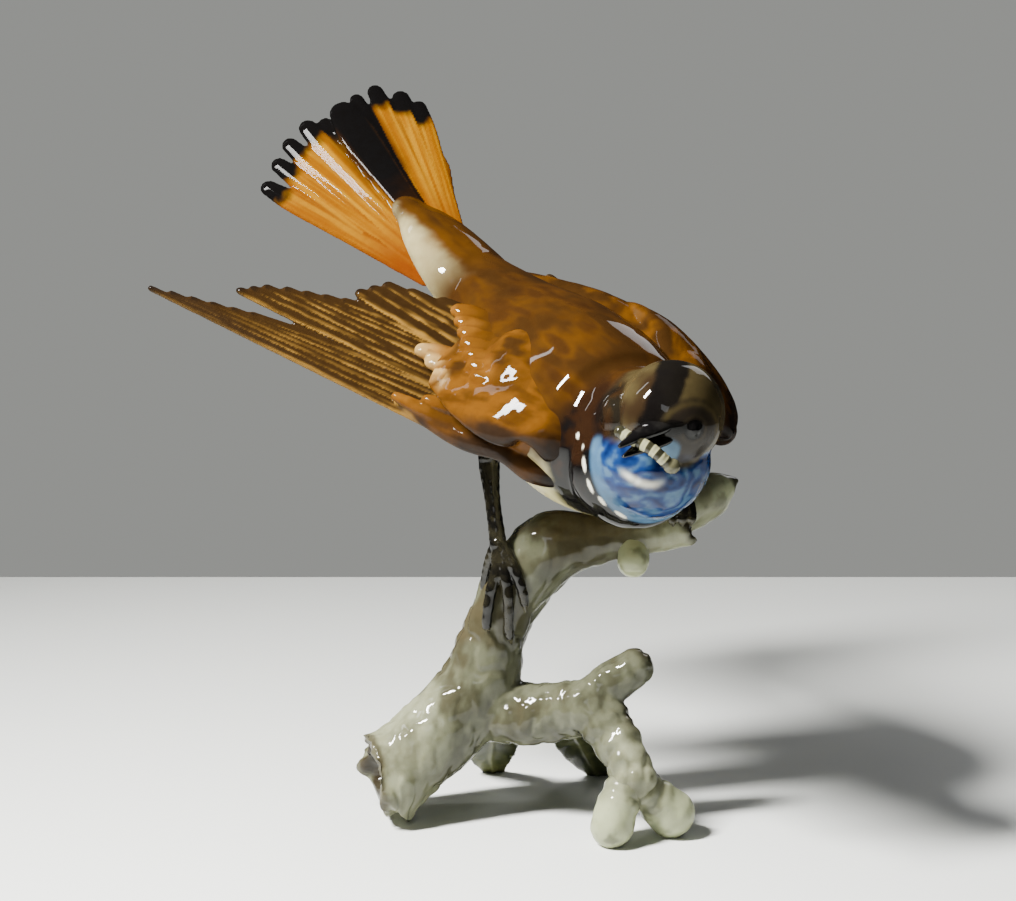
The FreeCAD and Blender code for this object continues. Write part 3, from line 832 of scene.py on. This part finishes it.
# ---------------------------------------------------------------- feathers
class Feather:
    """Thin rounded blade from root to tip. face is the way that its upper side looks."""

    def __init__(self, root, tip, half_root, half_tip, thick, face, roll=0.0, kind=""):
        self.root = np.asarray(root, float)
        self.tip = np.asarray(tip, float)
        self.way = unit(self.tip - self.root)
        self.length = np.linalg.norm(self.tip - self.root)
        face = unit(face - self.way * np.dot(face, self.way))
        side = np.cross(self.way, face)
        turn = math.radians(roll)
        self.side = side * math.cos(turn) + face * math.sin(turn)
        self.face = np.cross(self.side, self.way)
        self.halves = (half_root, half_tip)
        self.thick = thick
        self.kind = kind

    def shape(self):
        inner = self.length - self.halves[1]
        line = [self.root + self.way * t for t in (0, inner * 0.45, inner * 0.84, inner)]
        wides = [self.halves[0], sum(self.halves) * 0.52, self.halves[1] * 1.12, self.halves[1] * 0.86]
        return tube(line, wides, [self.thick / 2] * 4, across=self.side, sides=20, per_mm=1.2, blunt=1.15)

    def place(self, points):
        """Share of the length, share of the half width, and height over the blade, of each point."""
        d = points - self.root
        u = d @ self.way / self.length
        half = self.halves[0] + (self.halves[1] - self.halves[0]) * np.clip(u, 0, 1)
        return u, d @ self.side / half, d @ self.face


def fan(first, last, count, **more):
    """Feathers between two that are given as (root, tip, half_root, half_tip, thick)."""
    feathers = []
    for share in np.linspace(0, 1, count):
        values = [np.asarray(a, float) + (np.asarray(b, float) - np.asarray(a, float)) * share
                  for a, b in zip(first, last)]
        feathers.append(Feather(*values, **more))
    return feathers


def nearest_feather(points, feathers):
    """For each point, which feather shows there, its place on that feather, and how far it is off it."""
    places = np.array([feather.place(points) for feather in feathers])
    lengths = np.array([[feather.length] for feather in feathers])
    tops = np.array([[feather.thick / 2] for feather in feathers])
    u, v, h = places[:, 0], places[:, 1], places[:, 2]
    miss = np.maximum(np.abs(v) - 1, 0) * 2.5 + np.maximum(u - 1, 0) * lengths
    miss = miss + np.maximum(-u, 0) * lengths + np.abs(h - tops)
    index = np.argmin(miss, axis=0)
    each = np.arange(len(points))
    return index, u[index, each], v[index, each], miss[index, each]


# ---------------------------------------------------------------- wings
QUILL_DARK = srgb(42, 28, 12)
QUILL_TAN = srgb(132, 98, 42)
COVERT_TAN = srgb(122, 80, 28)


class Wing:
    """A wing's own axes: a towards the tip, b across towards the back, h out from its upper side."""

    def __init__(self, origin, way, across, face, roll):
        self.origin, self.way, self.across, self.face = np.array([origin, way, across, face], float)
        self.roll = roll

    def point(self, a, b, h=0.0):
        return self.origin + self.way * a + self.across * b + self.face * h

    def place(self, points):
        away = points - self.origin
        return away @ self.way, away @ self.across, away @ self.face

    def row(self, kind, count, thick, roll, first, last):
        """A row of feathers, from first to last, given as in NEAR_ROWS."""
        ends = [(self.point(*end[0]), self.point(*end[1]), end[2], end[3], thick) for end in (first, last)]
        return fan(*ends, count, face=self.face, roll=self.roll * roll, kind=kind)


NEAR = Wing((24.4, -14.5, 72.7), (-0.867, 0.239, 0.438), (0.491, 0.567, 0.662), (0.09, -0.788, 0.609), -12)
FAR_WAY = unit((-0.348, 0.908, 0.236))
FAR_ACROSS = np.array((-0.62, 0.08, 0.78))
FAR_FACE = unit(np.cross(FAR_WAY, FAR_ACROSS))
FAR = Wing((62.3, -6.9, 86.6), FAR_WAY, np.cross(FAR_FACE, FAR_WAY), FAR_FACE, 12)


def quill_paint(index, u, v, kinds, sign):
    """Dark feather with a tan edge, its end and the longest feathers darker."""
    lines = noise(np.column_stack([u * 9 + index * 4.0, v * 3.2, index * 3.0]), 1.0, 94, 2)
    colour = mix(QUILL_TAN, QUILL_DARK, smooth(-0.95, -0.30, sign * v + 0.35 * lines))
    colour = mix(colour, QUILL_DARK, (kinds == "primary") * (0.15 + 0.5 * smooth(0.45, 0.95, u)))
    return mix(colour, BLACK, smooth(0.93, 1.0, u) * 0.8)


def covert_paint(u, v, kinds, tone):
    """Warm tan lobes, paler at their ends and shaded where the next lobe begins."""
    colour = mix(COVERT_TAN, GOLD, smooth(-0.3, 0.5, tone + 0.4 * (kinds == "scallop")))
    colour = mix(colour, srgb(176, 150, 96), (kinds == "outer") * smooth(0.55, 0.95, u) * 0.55)
    colour = mix(colour, srgb(84, 50, 15), smooth(0.25, 0.9, np.abs(v)) * 0.65)
    return mix(colour, BROWN, smooth(0.85, 0.35, u) * 0.75)


def wing_paint(wing, feathers, sign):
    all_kinds = np.array([f.kind for f in feathers])

    def colours(points, normals):
        index, u, v, miss = nearest_feather(points, feathers)
        kinds = all_kinds[index]
        tone = noise(points, 6.0, 91, 3)
        fine = noise(points, 1.7, 92, 3)
        a, b, _ = wing.place(points)
        streak = noise(np.column_stack([a * 0.28, b, b * 0.0]), 2.2, 93, 3)
        flight = np.isin(kinds, ["primary", "secondary", "tertial"]).astype(float)
        coverts = covert_paint(u, v, kinds, tone)
        colour = mix(coverts, quill_paint(index, u, v, kinds, sign), flight)
        arm = mix(BROWN, GOLD, smooth(-0.25, 0.35, tone + 0.5 * streak))
        arm = mix(arm, UMBER, smooth(0.05, 0.5, streak) * 0.55)
        colour = mix(colour, arm, np.clip(smooth(0.8, 2.2, miss), 0, 1))
        edge = smooth(4.5, 1.5, b + 0.8 * fine) * (0.45 + 0.55 * smooth(44, 30, a))
        colour = mix(colour, mix(UMBER, SLATE, 0.5), edge * 0.7)
        wrist = smooth(9, 2, np.hypot(a - 1, (b - 1) * 0.8) + fine)
        colour = mix(colour, BLACK, wrist * 0.9)
        under = smooth(0.1, -0.3, normals @ wing.face) * smooth(22, 34, a)
        return mix(colour, mix(srgb(84, 66, 42), QUILL_DARK, smooth(-0.3, 0.5, v)), under * 0.9)

    return colours


# Rows of the near wing: kind, count, thickness and share of the wing's roll, then the first and the last
# feather. Each of those is root, tip, half width at the root and half width at the tip.
NEAR_ROWS = [
    ("primary", 6, 1.5, 1.0,
     ((32, 5.5, -0.5), (104.4, 0.6, 0.0), 2.3, 0.9), ((36, 14, 0.4), (82, 6.4, 0.6), 2.3, 1.2)),
    ("secondary", 3, 1.6, 1.0,
     ((34, 14, 0.9), (87.5, 10.2, 0.9), 2.5, 1.3), ((35, 17, 1.1), (83, 13.8, 1.0), 2.5, 1.5)),
    ("secondary", 4, 1.6, 1.0,
     ((35, 19, 1.3), (79, 15.6, 1.1), 2.5, 1.6), ((36, 24, 1.6), (66.5, 19.6, 1.6), 2.5, 1.7)),
    ("tertial", 3, 1.9, 1.0,
     ((32, 22, 2.2), (64.6, 23.4, 2.2), 2.7, 1.8), ((31, 27.5, 3.0), (60.4, 28.2, 2.2), 2.7, 1.8)),
    ("tertial", 2, 1.9, 1.0,
     ((30, 28.5, 3.4), (55, 29.4, 2.6), 2.7, 1.8), ((28, 31, 4.0), (48, 31, 2.8), 2.7, 1.8)),
    ("alula", 2, 2.0, 0.5,
     ((24, 5.0, 6.0), (44.5, 5.2, 2.2), 2.0, 1.4), ((26, 8.0, 7.5), (38.0, 7.0, 4.4), 2.0, 1.5)),
    ("outer", 6, 2.6, 0.35,
     ((15, 8, 12.0), (27, 6.8, 9.6), 2.3, 2.1), ((28, 19, 9.0), (45.6, 16.8, 4.2), 2.8, 2.4)),
    ("scallop", 7, 2.8, 0.3,
     ((16, 14, 18.6), (30, 12.6, 14.0), 2.5, 2.2), ((28, 29, 11.0), (43.4, 28.6, 6.4), 2.5, 2.3)),
]
# Flights of the far wing, in layout millimetres: as above, with the thickness last.
FAR_FLIGHTS = [
    ("primary", 7,
     ((56, 22, 91), (16.5, 70, 106), 2.4, 1.3, 1.6), ((50, 24, 99), (24, 58, 107), 2.4, 1.5, 1.6)),
    ("secondary", 6,
     ((50, 23, 98), (24, 54, 109), 2.6, 1.6, 1.8), ((43, 25, 106), (24, 44, 113), 2.6, 1.7, 1.8)),
    ("tertial", 4,
     ((44, 20, 102), (19, 41, 116.6), 2.8, 1.8, 2.0), ((37, 21, 109), (23, 36, 118.4), 2.8, 1.8, 2.0)),
]
FAR_COVERTS = [
    ("outer", 5, 2.6, 0.4,
     ((18, 0, 1.6), (34, 1, 0.8), 2.6, 2.2), ((20, 9, 3.0), (42, 9, 1.6), 2.8, 2.3)),
    ("scallop", 6, 2.8, 0.4,
     ((12, 5, 3.4), (29, 5, 2.6), 2.5, 2.2), ((18, 19, 2.6), (39, 19, 1.2), 2.6, 2.2)),
]


def make_right_wing():
    wing = NEAR
    feathers = []
    for row in NEAR_ROWS:
        feathers += wing.row(*row)
    stations = [(2, 9.5, 15.4), (8, 13.5, 17.8), (16, 16, 16.2), (25, 18.5, 12.6), (34, 21.0, 8.8)]
    arm = tube([wing.point(*p) for p in stations], [8.8, 13.4, 16.2, 15.6, 13.0],
               [5.2, 5.6, 5.2, 3.8, 2.0], across=wing.across, sides=44, blunt=0.3)
    edge = [(2, 3.4, 11.5), (8, 2.4, 9.8), (16, 4.2, 7.2), (25, 3.4, 4.4), (35, 4.6, 1.8), (42, 5.6, 0.8)]
    leading = tube([wing.point(*p) for p in edge], [3.0, 3.2, 2.8, 2.6, 2.1, 1.5], across=wing.across)
    mound = ball(wing.point(11, 20, 12.5), (19, 17, 9.5), (wing.way, wing.across, wing.face))
    obj = sculpt("right_wing_piece", [f.shape() for f in feathers] + [arm, leading, mound], 0.36, 9)
    relief(obj, lambda p, n: 0.06 * noise(p, 3.0, 95, 2))
    paint(obj, wing_paint(wing, feathers, 1))
    skin = porcelain("wing", mottle=0.25, mottle_mm=2.0, dark=(0.5, 0.4, 0.32), ripple=0.04, coat=0.15)
    finished(obj, skin, "wing_glaze", "right_wing")
    return skin


def make_left_wing(skin):
    wing = FAR
    feathers = []
    for kind, count, first, last in FAR_FLIGHTS:
        feathers += fan(first, last, count, face=wing.face, roll=wing.roll, kind=kind)
    for row in FAR_COVERTS:
        feathers += wing.row(*row)
    arm = tube([(55.5, -6, 95.2), (54.8, 5, 99), (49.6, 16, 101.4), (43.4, 25.6, 103.4)],
               [11, 14.5, 16, 13.5], [4, 5.5, 5, 3.4], across=FAR_ACROSS, sides=44, blunt=0.4)
    ridge = tube([(60.8, 0, 88.6), (58, 1, 94), (52, 4, 99.3), (43.6, 10, 105.2), (35.5, 16, 110.4),
                  (27.5, 24, 113.2), (17, 30, 116.2)], [3.5, 4.6, 6.0, 6.6, 6.2, 5.2, 4.0])
    shoulder = tube([(50, 0, 97.5), (42, 12, 104), (34, 22, 109), (27, 27, 112)], [9.5, 9.0, 7.5, 5.0])
    obj = sculpt("left_wing_piece", [f.shape() for f in feathers] + [arm, ridge, shoulder], 0.38, 4)
    relief(obj, lambda p, n: 0.10 * noise(p, 3.0, 96, 2))
    paint(obj, wing_paint(wing, feathers, -1))
    finished(obj, skin, "wing_glaze", "left_wing")


# ---------------------------------------------------------------- tail
TAIL_ORANGE = srgb(116, 68, 0)
TAIL_PALE = srgb(142, 98, 8)
TAIL_RUST = srgb(98, 44, 8)
TAIL_EDGE = srgb(92, 46, 12)
TAIL_FACE = unit((-0.10, -0.77, 0.63))
TAIL_LEFT_ROOT = np.array([-6.4, 30.6, 118.0])
TAIL_RIGHT_ROOT = np.array([4.8, 34.4, 125.0])
# Tip, half width at the tip, how far it lies over the fan, and its colour. From the left edge to the right.
TAIL_FEATHERS = [((-44.6, 51.8, 138.8), 2.5, -0.9, "orange"), ((-42.2, 55.8, 143.8), 2.5, -0.5, "orange"),
                 ((-39.6, 58.8, 148.2), 2.5, -0.1, "orange"), ((-35.4, 61.2, 152.2), 2.8, 0.3, "orange"),
                 ((-31.0, 61.4, 152.6), 2.8, 0.5, "orange"), ((-27.0, 63.2, 156.0), 4.4, 1.3, "black"),
                 ((-23.2, 64.8, 158.4), 2.2, 0.5, "dark"), ((-18.8, 66.2, 160.8), 2.5, 0.1, "orange"),
                 ((-12.6, 64.8, 159.8), 2.8, -0.4, "orange"), ((-8.0, 62.6, 157.8), 2.4, -0.8, "orange")]

# Tips of the short plates that close the fan from below.
TAIL_WEB_TIPS = [(-35.5, 50.0, 138.0), (-30.0, 53.5, 143.0), (-24.0, 56.5, 147.0),
                 (-18.0, 58.0, 150.0), (-12.0, 57.5, 150.5), (-8.2, 56.0, 149.0)]
MIDDLE_FEATHER = 5


def tail_root(tip):
    """Where on the fan's root a feather with that tip begins."""
    span = np.array(TAIL_FEATHERS[-1][0]) - np.array(TAIL_FEATHERS[0][0])
    share = (np.array(tip) - np.array(TAIL_FEATHERS[0][0])) @ span / (span @ span)
    return TAIL_LEFT_ROOT + (TAIL_RIGHT_ROOT - TAIL_LEFT_ROOT) * (0.12 + 0.76 * share)


def make_tail():
    feathers = []
    for tip, half, lift, kind in TAIL_FEATHERS:
        over = TAIL_FACE * lift
        roll = 6 if tip[0] < -30 else -5
        feathers.append(Feather(tail_root(tip) + over, np.array(tip) + over, 2.2, half, 1.3, TAIL_FACE,
                                roll, kind))
    under = TAIL_FACE * 1.2
    web = [Feather(tail_root(tip) - under, np.array(tip) - under, 2.4, 5.2, 1.2, TAIL_FACE)
           for tip in TAIL_WEB_TIPS]
    obj = sculpt("tail_piece", [f.shape() for f in feathers + web], 0.34, 8)
    all_kinds = np.array([f.kind for f in feathers])
    lengths = np.array([f.length for f in feathers])
    middle = feathers[MIDDLE_FEATHER]

    def colours(points, normals):
        index, u, v, _ = nearest_feather(points, feathers)
        kinds = all_kinds[index]
        fine = noise(points, 2.2, 101, 3)
        streak = noise(np.column_stack([v * 4 + index * 7.0, u * 3.0, index * 5.0]), 1.0, 102, 2)
        orange = mix(TAIL_ORANGE, TAIL_PALE, smooth(-0.4, 0.5, streak))
        orange = mix(orange, TAIL_RUST, np.clip(smooth(0.5, 0.1, u) * 0.7 + smooth(2, 0, index) * 0.25, 0, 1))
        orange = mix(orange, TAIL_EDGE, smooth(0.6, 1.0, np.abs(v)) * 0.45)
        tip = smooth(10.0, 6.4, (1 - u) * lengths[index] + 1.4 * fine + 1.2 * np.abs(v))
        colour = mix(orange, BLACK, tip)
        long_way = mix(UMBER * 0.8, BLACK, smooth(0.30, 0.55, u + 0.1 * fine))
        colour = mix(colour, long_way, np.isin(kinds, ["black", "dark"]) * smooth(1.2, 0.8, np.abs(v)))
        u_middle, v_middle, _ = middle.place(points)
        shade = smooth(2.1, 1.0, np.abs(v_middle)) * smooth(0.3, 0.62, u_middle + 0.08 * fine)
        return mix(colour, BLACK, shade * 0.9)

    paint(obj, colours)
    skin = porcelain("tail", mottle=0.22, mottle_mm=1.6, dark=(0.7, 0.5, 0.3), ripple=0.04, coat=0.05)
    finished(obj, skin, "tail_glaze", "tail_fan")


# ---------------------------------------------------------------- legs and feet
LEG_LINES = {"right_leg": [(10.0, 7.0, 84.0), (9.8, 6.8, 79.5), (10.6, 3.6, 72), (11.8, -0.4, 63.4)],
             "left_leg": [(46.5, 4.0, 84.5), (48, 3.6, 80.5), (50.4, 2.2, 77.2), (52.8, 0.9, 73.0)]}
TOES = {
    "right_foot": [
        [(11.8, -0.9, 63), (11.6, -2.6, 58), (10.2, -3.4, 52.6), (9.3, -3.6, 46.2), (9.6, -2.9, 43.6)],
        [(12.0, -1.0, 63), (13.2, -3.2, 57.4), (14.0, -4.0, 51), (14.2, -4.0, 44.6), (14.8, -3.2, 41)],
        [(12.4, -0.9, 63), (15.0, -3.2, 58.6), (17.0, -3.8, 53.6), (18.0, -3.3, 48.2)],
        [(11.6, -0.6, 63), (10.2, 0.2, 59.4), (9.2, 1.4, 55.2), (8.4, 2.4, 51.0)],
    ],
    "left_foot": [
        [(52.8, 0.6, 73.2), (51.2, -0.6, 71.6), (50.2, -1.8, 69.4), (50.4, -2.2, 67.6)],
        [(52.8, 0.4, 73.2), (52.5, -1.0, 71.8), (52.3, -2.0, 69.6), (52.4, -2.2, 67.6)],
        [(53.0, 0.6, 73.2), (54.0, -0.6, 71.8), (54.4, -1.8, 69.6), (54.3, -2.2, 67.8)],
        [(52.8, 0.8, 72.9), (52.4, 3.8, 71.8), (52.0, 6.6, 69.8), (51.8, 7.6, 66.8)],
    ],
}

TOE_ROWS = 22


def make_legs():
    material = porcelain("leg", mottle=0.3, mottle_mm=1.4, dark=(0.4, 0.38, 0.3), ripple=0.05)

    def colours(points, normals):
        tone = noise(points, 3.0, 111, 3)
        colour = mix(srgb(29, 27, 19), srgb(13, 12, 10), smooth(-0.3, 0.3, tone))
        return mix(colour, srgb(62, 58, 40), smooth(0.4, 0.8, tone) * 0.4)

    for name, line in LEG_LINES.items():
        obj = sculpt(name + "_piece", [tube(line, [2.7, 2.4, 1.75, 1.85])], 0.28, 3)
        middle = np.array(line)
        relief(obj, lambda p, n, m=middle: 0.04 * np.sin(along(p, m)[0] * 60) + 0.08 * noise(p, 2, 112, 2))
        paint(obj, colours)
        finished(obj, material, "leg_glaze", name)
    for name, toes in TOES.items():
        shapes = []
        for toe in toes:
            scutes = 1 + 0.05 * np.sin(np.linspace(0, TOE_ROWS, TOE_ROWS) * 2.0)
            radii = np.linspace(1.55, 1.0, TOE_ROWS) * scutes
            radii[-3:] = (0.85, 0.6, 0.35)
            shapes.append(tube(catmull(toe, TOE_ROWS), radii, sides=16, per_mm=3.0))
        obj = sculpt(name + "_piece", shapes + [ball(toes[0][0], (1.9, 1.9, 2.2))], 0.22, 2)
        tips = [np.array(toe[-1]) for toe in toes]

        def foot_colours(points, normals, tips=tips):
            colour = colours(points, normals)
            claw = np.min([distance(points, tip) for tip in tips], axis=0)
            return mix(colour, srgb(62, 59, 43), smooth(2.2, 1.2, claw) * 0.8)

        paint(obj, foot_colours)
        finished(obj, material, "leg_glaze", name)


# ---------------------------------------------------------------- all of it
set_camera()
set_table()
set_lamps()
set_backdrop()
make_branch()
make_buds()
make_leaves()
make_body()
make_bill()
make_grub()
wing_skin = make_right_wing()
make_left_wing(wing_skin)
make_tail()
make_legs()
